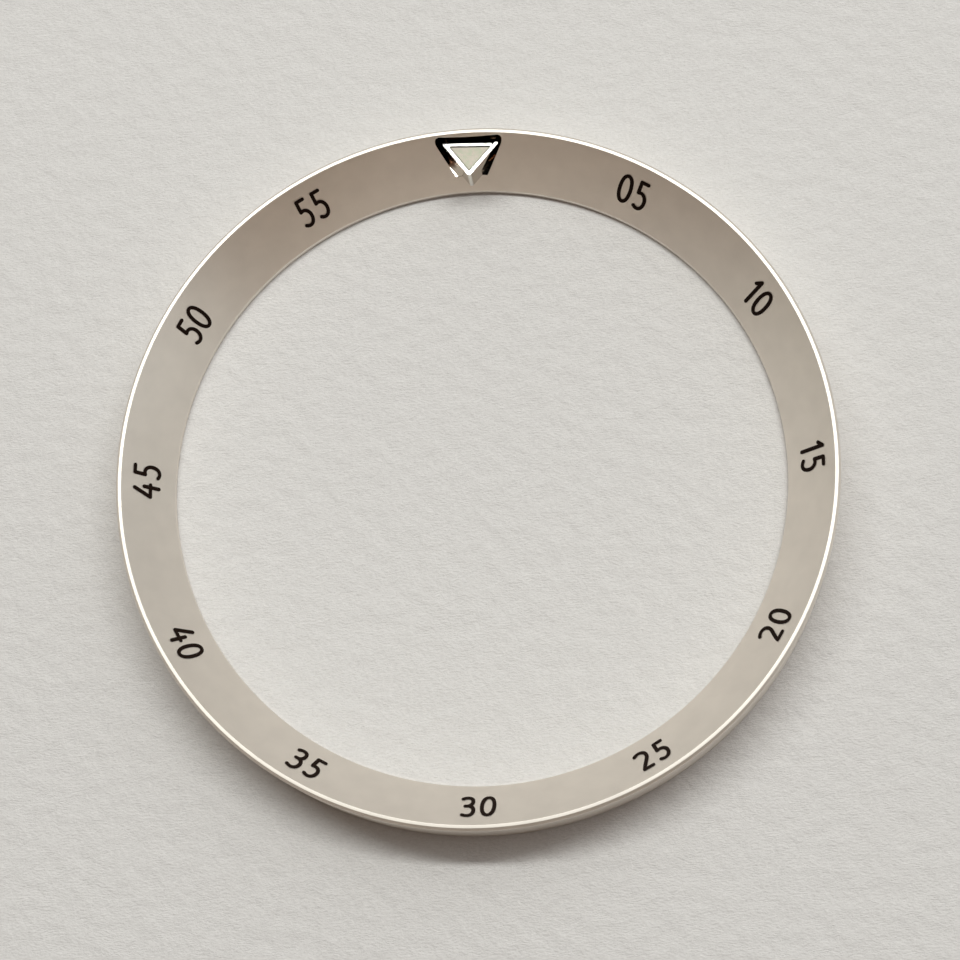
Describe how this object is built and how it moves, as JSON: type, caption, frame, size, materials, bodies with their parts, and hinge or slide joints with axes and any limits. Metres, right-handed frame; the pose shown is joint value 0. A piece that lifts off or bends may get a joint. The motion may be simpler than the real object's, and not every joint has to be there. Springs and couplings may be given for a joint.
{
  "type": "watch chapter ring",
  "caption": "Turned metal chapter ring for a watch: a slope printed with minute numbers inside a narrow flat rim, and a pocket at the top that holds a raised triangular marker filled with lume.",
  "frame": {"origin": "centre of the flat underside, on the ring's axis", "axes": "+Z along the ring's axis from the underside to the rim; +Y from the axis to the marker at 12; +X to 15"},
  "size_m": [0.032, 0.032, 0.0027],
  "materials": {
    "satin_steel": "satin, turned round the axis",
    "polished_steel": "mirror polished",
    "luminous_paint": "matt, slightly mottled",
    "black_ink": "pad print with a slight gloss"
  },
  "bodies": {
    "root": {"ring_body": "satin_steel", "marker_frame": "polished_steel", "marker_lume": "luminous_paint", "numeral_05_tens": "black_ink", "numeral_05_units": "black_ink", "numeral_10_tens": "black_ink", "numeral_10_units": "black_ink", "numeral_15_tens": "black_ink", "numeral_15_units": "black_ink", "numeral_20_tens": "black_ink", "numeral_20_units": "black_ink", "numeral_25_tens": "black_ink", "numeral_25_units": "black_ink", "numeral_30_tens": "black_ink", "numeral_30_units": "black_ink", "numeral_35_tens": "black_ink", "numeral_35_units": "black_ink", "numeral_40_tens": "black_ink", "numeral_40_units": "black_ink", "numeral_45_tens": "black_ink", "numeral_45_units": "black_ink", "numeral_50_tens": "black_ink", "numeral_50_units": "black_ink", "numeral_55_tens": "black_ink", "numeral_55_units": "black_ink"}
  },
  "joints": []
}
